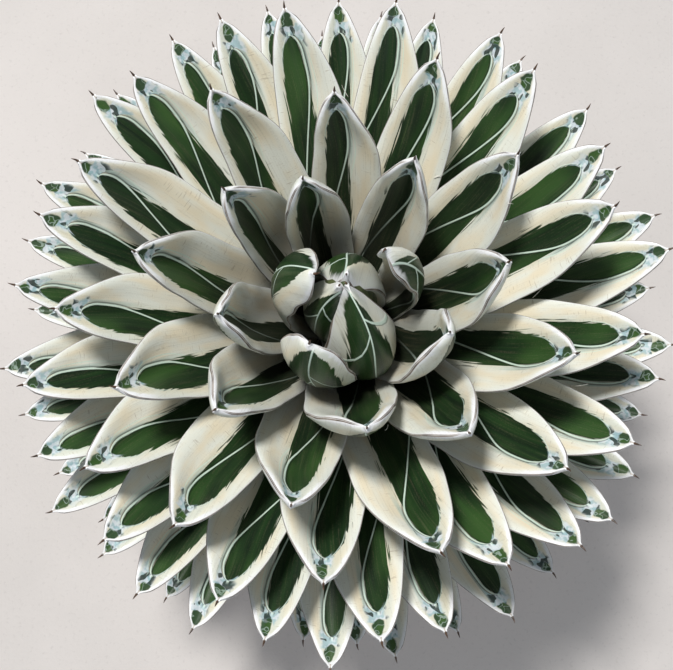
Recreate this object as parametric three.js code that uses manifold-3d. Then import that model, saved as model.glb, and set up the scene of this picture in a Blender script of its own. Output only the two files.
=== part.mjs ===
// A variegated Queen Victoria agave (Agave victoriae-reginae) in a plain round clay pot.
// Millimetres, +Z up. The origin is the middle of the pot's foot, on the surface it stands on.
//
// The leaves follow one growth spiral. Leaf 0 is the youngest one that has opened. Each older leaf
// comes a golden angle further round and a little lower on the stem, and reaches a tip whose
// distance and height run smoothly with its age. The buds that still wrap the growing point
// are leaves -1, -2 and -3 of the same spiral.
import * as THREE from "three";
import { mergeVertices } from "three/addons/utils/BufferGeometryUtils.js";
import Module from "manifold-3d";

const wasm = await Module();
wasm.setup();

// ---------------------------------------------------------------- driving dimensions
const GAP = 0.3; // clearance between touching pieces
const POT_HEIGHT = 180;
const POT_RIM_RADIUS = 112;
const POT_FOOT_RADIUS = 80;
const POT_WALL = 7;
const POT_FLOOR = 10;
const POT_BAND_HEIGHT = 30; // the thicker collar round the pot's mouth
const POT_BAND_PROUD = 4;
const POT_ROUNDING = 2;
const DRAIN_COUNT = 5;
const DRAIN_RADIUS = 6;
const DRAIN_RING_RADIUS = 46;
const DRAIN_SIDES = 12;
const ROUND_SIDES = 36; // sides of the pot and the soil
const SOIL_BELOW_RIM = 12;
const SOIL_BUMP = 1.8; // height of its waves
const SOIL_EDGE = 4; // how far its rounded edge reaches down and in
const SOIL_ROWS = 7; // rings across its top

const WHORLS = 8;
const LEAVES_PER_WHORL = 13;
const LEAF_COUNT = WHORLS * LEAVES_PER_WHORL;
const FULL_WHORLS = 3; // the upper whorls, whose leaves get the finer section
const GOLDEN_ANGLE = 137.62;
const FIRST_AZIMUTH = 163; // of leaf 0, anticlockwise from +X
const PITCH = 1.15; // each leaf sits this much lower on the stem than the one before
const STEM_TIP_RADIUS = 8; // where leaf 0 leaves the stem
const STEM_FULL_RADIUS = 22; // where the old leaves leave it
const STEM_WIDENING = 12; // leaves over which it widens
const RIM_CLEARANCE = 28; // from the lowest leaf's foot down to the pot's rim
const STUBS = { first: 109, count: 16, length: 16, halfWidth: 6, thickness: 5, droop: 0.2 };
const STEM_SIDES = 16;
const STEM_SUNK = 26; // depth of the stem's foot in the soil
const STEM_FOOT_TAPER = { inwards: 4, upwards: 10 };
const HEART_SIDES = 12;

// The plant leans a little to the light: leaves turn towards one side and grow longer on it.
const TURN = { degrees: 3.4, towards: 53.6 };
const REACH_LEAN = { share: 0.043, towards: 105 };
const WIDTH_LEAN = { share: 0.09, towards: -70 };

// Sizes that change with a leaf's age, each given at these ages
const AGES = [0, 4, 12, 24, 38, 54, 75, 103];
const TIP_REACH = [17, 58, 101, 155, 181, 202, 216, 212];
const TIP_HEIGHT = [112, 112, 107, 80, 52, 10, -56, -128];
const HALF_TURN = [46, 26, 19, 15, 12, 11, 10, 9]; // half of how far the midrib curves up, degrees
const WIDTH = [37, 39, 44, 46.5, 45, 42, 39, 36];
const CUP = [10, 8, 7, 5.5, 5, 4.5, 4.2, 4]; // margins above the midline
const THICKNESS = [6, 8, 9.5, 10.5, 10.5, 10.5, 10.5, 10];
const BELLY_AGE = 8; // leaves over which it grows to the full
const BELLY = 4; // how far a blade's middle lies to the right of the line from its foot to its end
const SWAY = 2; // how far blades bow towards +Y between their feet and their ends
const SPINE = 5;
const SPINE_RADIUS = 1.3;

// Leaves that stray from the spiral: [degrees further round, millimetres further out]
const STRAYS = {
  0: [7, -2], 1: [9, -3], 2: [-3, -2], 3: [0, 5], 4: [0, 1], 5: [3, 0], 7: [1, 0], 8: [0, -7], 9: [0, -4],
  10: [2, 0], 11: [1, 2], 12: [-2, -1], 13: [-1, 0], 14: [-2, 1], 15: [1, 1], 16: [1, 3], 17: [-1, -1],
  18: [1, -3], 19: [-3, -2], 20: [1, 7], 21: [1, 12], 22: [0, 4], 24: [-1, 7], 25: [-1, -6], 26: [0, -7],
  27: [0, 2], 28: [-1, -9], 29: [0, 2], 30: [-3, -3], 31: [0, -4], 32: [-2, 1], 33: [1, -2], 34: [1, -1],
  35: [2, -4], 36: [2, 1], 39: [1, 1], 40: [-1, 2], 41: [-2, 5], 42: [-4, 4], 43: [3, 4], 44: [0, -1],
  45: [-2, -5], 46: [3, 1], 47: [2, -3], 48: [0, -3], 50: [-2, 0], 51: [3, -6], 52: [1, -2], 53: [1, -5],
  54: [-2, -3], 55: [2, -1], 56: [0, 1], 57: [-2, 2], 60: [4, 3], 61: [5, 0], 62: [0, 5], 64: [0, 1],
  65: [-2, 5], 67: [-1, 2], 69: [1, 0], 70: [-3, 1], 72: [-1, 0], 75: [0, 1], 77: [1, -2], 78: [-3, 0],
  80: [-1, -1], 81: [0, -4], 83: [5, -8], 85: [0, 1], 88: [1, 3], 91: [-1, 2], 96: [4, 1],
};
// The three leaves that still wrap the growing point, youngest last. Their backs bulge from the bud.
const BUD_LEAVES = [
  { age: -1, turn: -6, foot: 6, reach: 2, top: 111, halfTurn: 58, width: 37, cup: 16, thickness: 8 },
  { age: -2, turn: -3, foot: 5, reach: 3, top: 110, halfTurn: 38, width: 40, cup: 13, thickness: 4 },
  { age: -3, turn: 0, foot: 4, reach: 3, top: 108, halfTurn: 34, width: 38, cup: 12, thickness: 4 },
];

// ---------------------------------------------------------------- small helpers
const radians = THREE.MathUtils.degToRad;
const clamp = THREE.MathUtils.clamp;
const smooth = (x) => THREE.MathUtils.smoothstep(x, 0, 1);

// A smooth curve through the values that a leaf has at the AGES
function atAge(values, age) {
  let k = 0;
  while (k < AGES.length - 2 && age > AGES[k + 1]) k += 1;
  const span = AGES[k + 1] - AGES[k];
  const slope = (from, to) => (values[to] - values[from]) / (AGES[to] - AGES[from]);
  const startSlope = k > 0 ? slope(k - 1, k + 1) : slope(0, 1);
  const endSlope = k < AGES.length - 2 ? slope(k, k + 2) : slope(k, k + 1);
  const s = (age - AGES[k]) / span;
  return (2 * s ** 3 - 3 * s ** 2 + 1) * values[k] + (s ** 3 - 2 * s ** 2 + s) * span * startSlope
    + (3 * s ** 2 - 2 * s ** 3) * values[k + 1] + (s ** 3 - s ** 2) * span * endSlope;
}

// A closed skin through rings of points, with a flat end on the first ring and
// either a flat end or an apex on the last
function skin(rings, apex = null) {
  const sides = rings[0].length;
  const points = rings.flat();
  const triangles = [];
  for (let i = 0; i + 1 < rings.length; i += 1) {
    for (let j = 0; j < sides; j += 1) {
      const next = (j + 1) % sides;
      const [a, b, c, d] = [i * sides + j, i * sides + next, (i + 1) * sides + next, (i + 1) * sides + j];
      triangles.push([a, c, b], [a, d, c]);
    }
  }
  const last = (rings.length - 1) * sides;
  for (let j = 1; j + 1 < sides; j += 1) {
    triangles.push([0, j, j + 1]);
    if (!apex) triangles.push([last, last + j + 1, last + j]);
  }
  if (apex) {
    points.push(apex);
    const end = points.length - 1;
    for (let j = 0; j < sides; j += 1) triangles.push([last + ((j + 1) % sides), last + j, end]);
  }
  const geometry = new THREE.BufferGeometry();
  const numbers = points.flatMap((p) => p.toArray());
  geometry.setAttribute("position", new THREE.Float32BufferAttribute(numbers, 3));
  geometry.setIndex(triangles.flat());
  return geometry;
}

// A solid of revolution about Z. The profile lists [radius, height] with the material on its left.
function turned(profile, sides) {
  const points = profile.map(([radius, height]) => new THREE.Vector2(radius, height));
  const geometry = new THREE.LatheGeometry(points, sides);
  geometry.rotateX(Math.PI / 2);
  return geometry;
}

function toManifold(geometry) {
  const bare = geometry.clone();
  bare.deleteAttribute("normal");
  bare.deleteAttribute("uv");
  const merged = mergeVertices(bare, 1e-4);
  const mesh = new wasm.Mesh({
    numProp: 3,
    vertProperties: new Float32Array(merged.attributes.position.array),
    triVerts: new Uint32Array(merged.index.array),
  });
  mesh.merge();
  return new wasm.Manifold(mesh);
}

function toGeometry(manifold) {
  const mesh = manifold.getMesh();
  const geometry = new THREE.BufferGeometry();
  geometry.setAttribute("position", new THREE.BufferAttribute(new Float32Array(mesh.vertProperties), 3));
  geometry.setIndex(new THREE.BufferAttribute(new Uint32Array(mesh.triVerts), 1));
  geometry.computeVertexNormals();
  return geometry;
}

function fuse(geometries) {
  return geometries.map(toManifold).reduce((whole, piece) => whole.add(piece));
}

// ---------------------------------------------------------------- the stem and its rule
const stemRadius = (age) =>
  STEM_TIP_RADIUS +
  (STEM_FULL_RADIUS - STEM_TIP_RADIUS) * (1 - Math.exp(-Math.max(age, 0) / STEM_WIDENING));
const COLLAR_INSET = 1; // leaf necks run this far in to their whorl's collar
const COLLAR_WALL = 4;
const COLLAR_SHORT = 2; // leaves by which a collar ends short of its whorl's first and last foot
const coreRadius = (age) => stemRadius(age) - COLLAR_INSET - COLLAR_WALL - GAP;

// Everything about one leaf that follows from its age
function leafSpec(age) {
  const [strayTurn, strayReach] = STRAYS[age] ?? [0, 0];
  const spiral = radians(FIRST_AZIMUTH - GOLDEN_ANGLE * age);
  const turn = TURN.degrees * Math.cos(spiral - radians(TURN.towards)) + strayTurn;
  const azimuth = spiral + radians(turn);
  const foot = new THREE.Vector2(stemRadius(age), -PITCH * age);
  const lean = 1 + REACH_LEAN.share * Math.cos(azimuth - radians(REACH_LEAN.towards));
  const reach = foot.x + (atAge(TIP_REACH, age) - foot.x) * lean + strayReach;
  const fuller = 1 + WIDTH_LEAN.share * Math.cos(azimuth - radians(WIDTH_LEAN.towards));
  return {
    age,
    azimuth,
    foot,
    tip: new THREE.Vector2(reach, atAge(TIP_HEIGHT, age)),
    halfTurn: radians(atAge(HALF_TURN, age)),
    halfWidth: 0.5 * atAge(WIDTH, age) * fuller,
    cup: atAge(CUP, age),
    thickness: atAge(THICKNESS, age),
    belly: BELLY * smooth(age / BELLY_AGE) - SWAY * Math.cos(azimuth),
  };
}

function budSpec(bud) {
  return {
    age: bud.age,
    azimuth: radians(FIRST_AZIMUTH - GOLDEN_ANGLE * bud.age + bud.turn),
    foot: new THREE.Vector2(bud.foot, -PITCH * bud.age),
    tip: new THREE.Vector2(bud.reach, bud.top),
    halfTurn: radians(bud.halfTurn),
    halfWidth: bud.width / 2,
    cup: bud.cup,
    thickness: bud.thickness,
    belly: 0,
  };
}

// The midline of the upper face is an arc in the leaf's own upright plane.
// share runs from 0 at the foot to 1 at the blade's end.
function midline(leaf, share) {
  const chord = leaf.tip.clone().sub(leaf.foot);
  const rise = chord.angle() > Math.PI ? chord.angle() - 2 * Math.PI : chord.angle();
  const start = rise - leaf.halfTurn;
  const slope = start + 2 * leaf.halfTurn * share;
  const radius = chord.length() / (2 * Math.sin(leaf.halfTurn));
  return {
    out: leaf.foot.x + radius * (Math.sin(slope) - Math.sin(start)),
    up: leaf.foot.y + radius * (Math.cos(start) - Math.cos(slope)),
    slope,
  };
}

// Half the blade's width, its thickness and how far its margins stand up, along its length
const TIP_TAPER = 0.42; // share of the length over which the blade narrows to its end
const TIP_BLUNTNESS = 0.7; // the lower, the blunter
const FOOT_TAPER = 0.5; // share of the length over which the foot widens
const FOOT_WIDTH = 0.4; // of the full width
const FOOT_THICKENING = 0.28; // share of the length over which the foot thickens
const FOOT_THICKNESS = 0.44; // of the full thickness
const THINNING = { start: 0.55, length: 0.5, sharpness: 0.7 }; // towards the end
const FOOT_CUP = 0.35; // of the full cup, and the share of the length over which it deepens
const BELLY_RISE = 0.45; // share of the length over which the belly swells
const BELLY_FALL = 0.3; // and over which it dies away
const CUP_FALL = { start: 0.7, length: 0.32 }; // where the cup flattens towards the end
function bladeSize(leaf, share) {
  const toTip = clamp((1 - share) / TIP_TAPER, 0, 1);
  const ogive = Math.sin((Math.PI / 2) * toTip) ** TIP_BLUNTNESS;
  const neck = FOOT_WIDTH + (1 - FOOT_WIDTH) * smooth(share / FOOT_TAPER);
  const thinFoot = FOOT_THICKNESS + (1 - FOOT_THICKNESS) * clamp(share / FOOT_THICKENING, 0, 1);
  const thinTip = (1 - clamp((share - THINNING.start) / THINNING.length, 0, 1) ** 2) ** THINNING.sharpness;
  const cupFoot = FOOT_CUP + (1 - FOOT_CUP) * clamp(share / FOOT_CUP, 0, 1);
  const cupTip = 1 - clamp((share - CUP_FALL.start) / CUP_FALL.length, 0, 1) ** 2;
  return {
    half: Math.max(leaf.halfWidth * ogive * neck, SPINE_RADIUS),
    thick: Math.max(leaf.thickness * thinFoot * thinTip, 2 * SPINE_RADIUS),
    cup: leaf.cup * cupFoot * cupTip,
    belly: leaf.belly * smooth(share / BELLY_RISE) * smooth((1 - share) / BELLY_FALL),
  };
}

// Corners of a leaf's section: [share of the half width, share of the cup, share of the thickness]
const FULL_SECTION = [
  [1, 1, 0], [0.5, 0.3, 0], [0, 0, 0], [-0.5, 0.3, 0],
  [-1, 1, 0], [-0.62, 0, -0.5], [0, 0, -1], [0.62, 0, -0.5],
];
const SLIM_SECTION = [[1, 1, 0], [0, 0, 0], [-1, 1, 0], [-0.36, 0, -0.85], [0.36, 0, -0.85]];
const BUD_SECTION = [
  [1, 1, 0], [0.5, 1.15, 0], [0, 1.2, 0], [-0.5, 1.15, 0],
  [-1, 1, 0], [-0.7, 0.2, -0.4], [0, 0, -1], [0.7, 0.2, -0.4],
];

// A point beside and above the midline, in the plant's frame
function beside(leaf, place, across, above) {
  const out = place.out - above * Math.sin(place.slope);
  const up = place.up + above * Math.cos(place.slope);
  const [c, s] = [Math.cos(leaf.azimuth), Math.sin(leaf.azimuth)];
  return new THREE.Vector3(out * c + across * s, out * s - across * c, up);
}

function sectionRing(leaf, place, size, section) {
  return section.map(([across, cup, thick]) =>
    beside(leaf, place, across * size.half + size.belly, cup * size.cup + thick * size.thick));
}

const FULL_STATIONS = [0, 0.2, 0.43, 0.68, 0.85, 0.94, 1];
const SLIM_STATIONS = [0, 0.27, 0.57, 0.8, 0.93, 1];

// One leaf, from a thin root (sunk in its whorl's collar) to the spine at its end
function leafGeometry(leaf, root, section, stations) {
  const ringAt = (share) => sectionRing(leaf, midline(leaf, share), bladeSize(leaf, share), section);
  const rings = stations.map(ringAt);
  if (root) rings.unshift(sectionRing(leaf, root.place, root.size, section));
  const end = midline(leaf, 1);
  const apex = beside(leaf, {
    out: end.out + SPINE * Math.cos(end.slope),
    up: end.up + SPINE * Math.sin(end.slope),
    slope: end.slope,
  }, 0, -SPINE_RADIUS);
  return skin(rings, apex);
}

// ---------------------------------------------------------------- the plant's pieces
const ROOT_SIZE = { half: 5, thick: 3, cup: 0.3, belly: 0 };

// Thirteen leaves on from one another round the stem, joined by the collar that their feet form
function whorl(index) {
  const first = index * LEAVES_PER_WHORL;
  const last = first + LEAVES_PER_WHORL - 1;
  const top = -PITCH * (first + COLLAR_SHORT);
  const bottom = -PITCH * (last - COLLAR_SHORT);
  const inner = (height) => coreRadius(-height / PITCH) + GAP;
  const outer = (height) => stemRadius(-height / PITCH) - COLLAR_INSET;
  const collar = turned(
    [
      [inner(bottom), bottom],
      [outer(bottom), bottom],
      [outer(top), top],
      [inner(top), top],
      [inner(bottom), bottom],
    ],
    STEM_SIDES,
  );
  const fine = index < FULL_WHORLS;
  const leaves = [];
  for (let age = first; age <= last; age += 1) {
    const leaf = leafSpec(age);
    const height = clamp(leaf.foot.y, bottom + ROOT_SIZE.thick, top - 1);
    const root = {
      place: { out: inner(height) + COLLAR_WALL / 2, up: height, slope: 0 },
      size: ROOT_SIZE,
    };
    const section = fine ? FULL_SECTION : SLIM_SECTION;
    const stations = fine ? FULL_STATIONS : SLIM_STATIONS;
    leaves.push(leafGeometry(leaf, root, section, stations));
  }
  return toGeometry(fuse([collar, ...leaves]));
}

// The closed bud: three leaves that still wrap the growing point, on a slender core
const HEART_CORE = [[0, 1.2], [4, 1.2], [12, 16], [18, 34], [19, 52], [15, 74], [8, 93], [0, 106]];
function heart() {
  const wraps = BUD_LEAVES.map((bud) => leafGeometry(budSpec(bud), null, BUD_SECTION, FULL_STATIONS));
  return toGeometry(fuse([turned(HEART_CORE, HEART_SIDES), ...wraps]));
}

const LOWEST_FOOT = -PITCH * LEAF_COUNT;
const RIM_TOP = LOWEST_FOOT - RIM_CLEARANCE;
const SOIL_TOP = RIM_TOP - SOIL_BELOW_RIM;
const STEM_FOOT = SOIL_TOP - STEM_SUNK;
const STEM_FOOT_RADIUS = STEM_FULL_RADIUS - 2;

// The stem: a core that the whorls ring, and below them the cut stubs of shed leaves
function stem() {
  const profile = [
    [0, STEM_FOOT],
    [STEM_FOOT_RADIUS - STEM_FOOT_TAPER.inwards, STEM_FOOT],
    [STEM_FOOT_RADIUS, STEM_FOOT + STEM_FOOT_TAPER.upwards],
    [STEM_FOOT_RADIUS, LOWEST_FOOT - 2],
    [coreRadius(LEAF_COUNT), LOWEST_FOOT - GAP],
  ];
  for (let whorlEdge = WHORLS - 1; whorlEdge > 0; whorlEdge -= 1) {
    const age = whorlEdge * LEAVES_PER_WHORL - 0.5;
    profile.push([coreRadius(age), -PITCH * age]);
  }
  profile.push([coreRadius(0) - 0.2, 0], [0, 0.4]);
  const stubs = [];
  for (let age = STUBS.first; age < STUBS.first + STUBS.count; age += 1) {
    const azimuth = radians(FIRST_AZIMUTH - GOLDEN_ANGLE * age);
    const stub = new THREE.BoxGeometry(STUBS.length, 2 * STUBS.halfWidth, STUBS.thickness);
    stub.rotateY(STUBS.droop);
    stub.translate(STEM_FOOT_RADIUS + 0.2 * STUBS.length, 0, -PITCH * age);
    stub.rotateZ(azimuth);
    stubs.push(stub);
  }
  return toGeometry(fuse([turned(profile, STEM_SIDES), ...stubs]));
}

// ---------------------------------------------------------------- the pot and its soil
const POT_FLARE = POT_RIM_RADIUS - POT_BAND_PROUD - POT_FOOT_RADIUS;
const potRadius = (height) => POT_FOOT_RADIUS + (POT_FLARE * height) / POT_HEIGHT;

function pot() {
  const bandFoot = POT_HEIGHT - POT_BAND_HEIGHT;
  const r = POT_ROUNDING;
  const inside = (height) => potRadius(height) - POT_WALL;
  const body = turned([
    [0, 0],
    [POT_FOOT_RADIUS - r, 0],
    [potRadius(r), r],
    [potRadius(bandFoot), bandFoot],
    [potRadius(bandFoot) + POT_BAND_PROUD - 1, bandFoot + 1],
    [potRadius(bandFoot) + POT_BAND_PROUD, bandFoot + r + 1],
    [POT_RIM_RADIUS, POT_HEIGHT - r],
    [POT_RIM_RADIUS - r, POT_HEIGHT],
    [inside(POT_HEIGHT) + r, POT_HEIGHT],
    [inside(POT_HEIGHT), POT_HEIGHT - r],
    [inside(POT_FLOOR + r), POT_FLOOR + r],
    [inside(POT_FLOOR) - r, POT_FLOOR],
    [0, POT_FLOOR],
  ], ROUND_SIDES);
  let solid = toManifold(body);
  for (let k = 0; k < DRAIN_COUNT; k += 1) {
    const hole = new THREE.CylinderGeometry(DRAIN_RADIUS, DRAIN_RADIUS, 3 * POT_FLOOR, DRAIN_SIDES);
    hole.rotateX(Math.PI / 2);
    hole.translate(DRAIN_RING_RADIUS, 0, 0);
    hole.rotateZ((2 * Math.PI * k) / DRAIN_COUNT);
    solid = solid.subtract(toManifold(hole));
  }
  return toGeometry(solid);
}

// Soil fills the pot to just under its rim. Its top is uneven, and the stem stands in a plain hole.
function soil() {
  const top = POT_HEIGHT - SOIL_BELOW_RIM;
  const edge = (height) => potRadius(height) - POT_WALL - GAP;
  const holeRadius = STEM_FOOT_RADIUS + GAP;
  const holeFoot = top - STEM_SUNK - GAP;
  const rows = [
    [edge(POT_FLOOR) - POT_ROUNDING, POT_FLOOR + GAP, 0],
    [edge(POT_FLOOR + POT_ROUNDING) - 0.1, POT_FLOOR + POT_ROUNDING + GAP, 0],
    [edge(top - SOIL_EDGE), top - SOIL_EDGE, 0],
  ];
  for (let k = 0; k < SOIL_ROWS; k += 1) {
    const share = k / (SOIL_ROWS - 1);
    rows.push([THREE.MathUtils.lerp(edge(top) - SOIL_EDGE, holeRadius + 1, share), top, 1]);
  }
  rows.push(
    [holeRadius, top - SOIL_EDGE, 0],
    [holeRadius, holeFoot + STEM_FOOT_TAPER.upwards, 0],
    [holeRadius - STEM_FOOT_TAPER.inwards, holeFoot, 0],
  );
  const rings = rows.map(([radius, height, bumpy]) => {
    const ring = [];
    for (let j = 0; j < ROUND_SIDES; j += 1) {
      const angle = (2 * Math.PI * j) / ROUND_SIDES;
      const bump = Math.sin(7 * angle + 0.11 * radius) * Math.cos(0.16 * radius + 3 * angle);
      const up = height + SOIL_BUMP * bumpy * bump;
      ring.push(new THREE.Vector3(radius * Math.cos(angle), radius * Math.sin(angle), up));
    }
    return ring.reverse();
  });
  return skin(rings);
}

// ---------------------------------------------------------------- the scene graph
const colours = {
  leaf: new THREE.MeshStandardMaterial({ color: 0x8fa07a, roughness: 0.5, metalness: 0 }),
  heart: new THREE.MeshStandardMaterial({ color: 0x4d6b3c, roughness: 0.5, metalness: 0 }),
  stem: new THREE.MeshStandardMaterial({ color: 0x8a7a5a, roughness: 0.85, metalness: 0 }),
  soil: new THREE.MeshStandardMaterial({ color: 0x4a3a2c, roughness: 0.95, metalness: 0 }),
  pot: new THREE.MeshStandardMaterial({ color: 0xb5673f, roughness: 0.8, metalness: 0 }),
};

function piece(name, geometry, colour) {
  const mesh = new THREE.Mesh(geometry, colours[colour].clone());
  mesh.name = name;
  return mesh;
}

const group = new THREE.Group();
group.add(piece("pot", pot(), "pot"));
group.add(piece("soil", soil(), "soil"));

const plant = new THREE.Group();
plant.position.z = POT_HEIGHT - RIM_TOP;
plant.add(piece("stem", stem(), "stem"));
plant.add(piece("heart", heart(), "heart"));
for (let index = 0; index < WHORLS; index += 1) {
  plant.add(piece(`leaf_whorl_${index + 1}`, whorl(index), "leaf"));
}
group.add(plant);

export default group;
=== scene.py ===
from math import pi
from types import SimpleNamespace

import bpy
import numpy as np
from mathutils import Matrix, Vector


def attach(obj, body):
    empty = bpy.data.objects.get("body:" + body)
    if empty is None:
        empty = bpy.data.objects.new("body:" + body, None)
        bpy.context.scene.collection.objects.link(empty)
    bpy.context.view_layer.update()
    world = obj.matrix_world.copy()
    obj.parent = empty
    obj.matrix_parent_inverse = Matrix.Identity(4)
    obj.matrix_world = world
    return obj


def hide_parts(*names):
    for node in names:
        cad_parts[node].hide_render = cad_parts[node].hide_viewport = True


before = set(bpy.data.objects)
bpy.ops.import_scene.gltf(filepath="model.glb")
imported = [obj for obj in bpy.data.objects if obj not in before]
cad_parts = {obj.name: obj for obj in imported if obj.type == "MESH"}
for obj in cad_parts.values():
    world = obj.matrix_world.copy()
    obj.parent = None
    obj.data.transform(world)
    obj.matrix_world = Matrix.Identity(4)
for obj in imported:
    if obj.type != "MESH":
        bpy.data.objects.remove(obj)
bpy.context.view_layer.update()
MM = 0.001
rng = np.random.default_rng(7)

# ---------------------------------------------------------------- the plant's rules, as in the part
WHORLS = 8
LEAVES_PER_WHORL = 13
LEAF_COUNT = WHORLS * LEAVES_PER_WHORL
GOLDEN_ANGLE = 137.62  # degrees from one leaf to the next
FIRST_AZIMUTH = 163
PITCH = 1.15  # from one leaf to the next, down the stem
STEM_TIP_RADIUS = 8
STEM_FULL_RADIUS = 22
STEM_WIDENING = 12  # ages
COLLAR_INSET = 1
COLLAR_WALL = 4
# The rosette is a little uneven: azimuth, reach and width each sway by so much towards one side.
TURN, TURN_TOWARDS = 3.4, 53.6
REACH_LEAN, REACH_TOWARDS = 0.043, 105
WIDTH_LEAN, WIDTH_TOWARDS = 0.09, -70

# What a leaf has at the AGES: reach and height of its end, half its bend in degrees, and its sizes.
# Ages count from 0, the youngest open leaf, to the oldest. The bud's are below 0.
AGES = [0, 4, 12, 24, 38, 54, 75, 103]
TIP_REACH = [17, 58, 101, 155, 181, 202, 216, 212]
TIP_HEIGHT = [112, 112, 107, 80, 52, 10, -56, -128]
HALF_TURN = [46, 26, 19, 15, 12, 11, 10, 9]
WIDTH = [37, 39, 44, 46.5, 45, 42, 39, 36]
CUP = [10, 8, 7, 5.5, 5, 4.5, 4.2, 4]
THICKNESS = [6, 8, 9.5, 10.5, 10.5, 10.5, 10.5, 10]
BELLY_AGE = 8  # from here on a leaf bulges fully to its right
BELLY = 4
SWAY = 2
SPINE = 4.4
SPINE_RADIUS = 1.1
BOW_SPREAD = 1.3
TWIST_SPREAD = 5  # degrees
HOOK_SPREAD = 1.2
# Where single leaves stray from the rule: age: (degrees of azimuth, millimetres of reach)
STRAYS = {
    0: (7, -2), 1: (9, -3), 2: (-3, -2), 3: (0, 5), 4: (0, 1), 5: (3, 0), 7: (1, 0), 8: (0, -7),
    9: (0, -4), 10: (2, 0), 11: (1, 2), 12: (-2, -1), 13: (-1, 0), 14: (-2, 1), 15: (1, 1),
    16: (1, 3), 17: (-1, -1), 18: (1, -3), 19: (-3, -2), 20: (1, 7), 21: (1, 12), 22: (0, 4),
    24: (-1, 7), 25: (-1, -6), 26: (0, -7), 27: (0, 2), 28: (-1, -9), 29: (0, 2), 30: (-3, -3),
    31: (0, -4), 32: (-2, 1), 33: (1, -2), 34: (1, -1), 35: (2, -4), 36: (2, 1), 39: (1, 1),
    40: (-1, 2), 41: (-2, 5), 42: (-4, 4), 43: (3, 4), 44: (0, -1), 45: (-2, -5), 46: (3, 1),
    47: (2, -3), 48: (0, -3), 50: (-2, 0), 51: (3, -6), 52: (1, -2), 53: (1, -5), 54: (-2, -3),
    55: (2, -1), 56: (0, 1), 57: (-2, 2), 60: (4, 3), 61: (5, 0), 62: (0, 5), 64: (0, 1), 65: (-2, 5),
    67: (-1, 2), 69: (1, 0), 70: (-3, 1), 72: (-1, 0), 75: (0, 1), 77: (1, -2), 78: (-3, 0),
    80: (-1, -1), 81: (0, -4), 83: (5, -8), 85: (0, 1), 88: (1, 3), 91: (-1, 2), 96: (4, 1),
}
# Leaves that bow sideways or are slimmer or wider: age: (millimetres to the right, share of the width)
BOWED = {
    1: (12, 0.7), 2: (-7, 1.05), 4: (5, 1.1), 7: (0, 1.13), 12: (-5, 1.04), 18: (2, 1.04),
    23: (2, 1.0),
}
# Leaves whose green middle lies to one side or is wider: age: (millimetres to the left, share of the
# half width)
MOVED_GREEN = {
    -3: (2, 0.15), -2: (2, 0.15), -1: (-0.8, 0.15), 0: (-3.5, 0.16), 1: (-8, 0), 2: (1, 0.16),
}
# The bud's leaves: age, turn, foot, reach, top, half_turn, width, cup and thickness
BUD_LEAVES = [
    (-1, -6, 6, 2, 111, 58, 40, 16, 12),
    (-2, -3, 5, 3, 110, 38, 40, 13, 4),
    (-3, 0, 4, 3, 108, 34, 38, 12, 4),
]
PLANT_HEIGHT = 327.6  # of leaf 0's foot above the surface that the pot stands on


def smooth(x):
    """0 up to 0, 1 from 1 on, and a soft step between."""
    x = np.clip(x, 0, 1)
    return x * x * (3 - 2 * x)


def at_age(values, age):
    """A smooth curve through the values that a leaf has at the AGES."""
    k = 0
    while k < len(AGES) - 2 and age > AGES[k + 1]:
        k += 1
    span = AGES[k + 1] - AGES[k]

    def slope(a, b):
        return (values[b] - values[a]) / (AGES[b] - AGES[a])

    start = slope(k - 1, k + 1) if k > 0 else slope(0, 1)
    end = slope(k, k + 2) if k < len(AGES) - 2 else slope(k, k + 1)
    s = (age - AGES[k]) / span
    return ((2 * s**3 - 3 * s**2 + 1) * values[k] + (s**3 - 2 * s**2 + s) * span * start
            + (3 * s**2 - 2 * s**3) * values[k + 1] + (s**3 - s**2) * span * end)


def stem_radius(age):
    widened = 1 - np.exp(-max(age, 0) / STEM_WIDENING)
    return STEM_TIP_RADIUS + (STEM_FULL_RADIUS - STEM_TIP_RADIUS) * widened


def finish_leaf(leaf):
    """Adds what both kinds of leaf share: the length along the arc, and each leaf's own small flaws."""
    chord = np.hypot(leaf.tip[0] - leaf.foot[0], leaf.tip[1] - leaf.foot[1])
    leaf.chord = chord
    leaf.length = chord * leaf.half_turn / np.sin(leaf.half_turn)
    leaf.seed = rng.uniform(0, 1)
    some_bow = rng.uniform(-BOW_SPREAD, BOW_SPREAD)
    leaf.twist = np.radians(rng.uniform(-TWIST_SPREAD, TWIST_SPREAD))
    leaf.wave = rng.uniform(0, 2 * pi, 4)
    leaf.hook = rng.uniform(-HOOK_SPREAD, HOOK_SPREAD, 2)
    leaf.bow, leaf.slender = BOWED.get(leaf.age, (some_bow, 1.0))
    leaf.shift, leaf.wider = MOVED_GREEN.get(leaf.age, (0, 0))
    return leaf


def leaf_spec(age):
    """One open leaf, by the plant's rules."""
    stray_turn, stray_reach = STRAYS.get(age, (0, 0))
    spiral = np.radians(FIRST_AZIMUTH - GOLDEN_ANGLE * age)
    azimuth = spiral + np.radians(TURN * np.cos(spiral - np.radians(TURN_TOWARDS)) + stray_turn)
    foot = (stem_radius(age), -PITCH * age)
    lean = 1 + REACH_LEAN * np.cos(azimuth - np.radians(REACH_TOWARDS))
    reach = foot[0] + (at_age(TIP_REACH, age) - foot[0]) * lean + stray_reach
    fuller = 1 + WIDTH_LEAN * np.cos(azimuth - np.radians(WIDTH_TOWARDS))
    return finish_leaf(SimpleNamespace(
        age=age, azimuth=azimuth, foot=foot, tip=(reach, at_age(TIP_HEIGHT, age)),
        half_turn=np.radians(at_age(HALF_TURN, age)), half_width=0.5 * at_age(WIDTH, age) * fuller,
        cup=at_age(CUP, age), thickness=at_age(THICKNESS, age),
        belly=BELLY * smooth(age / BELLY_AGE) - SWAY * np.cos(azimuth), bud=False,
    ))


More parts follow.
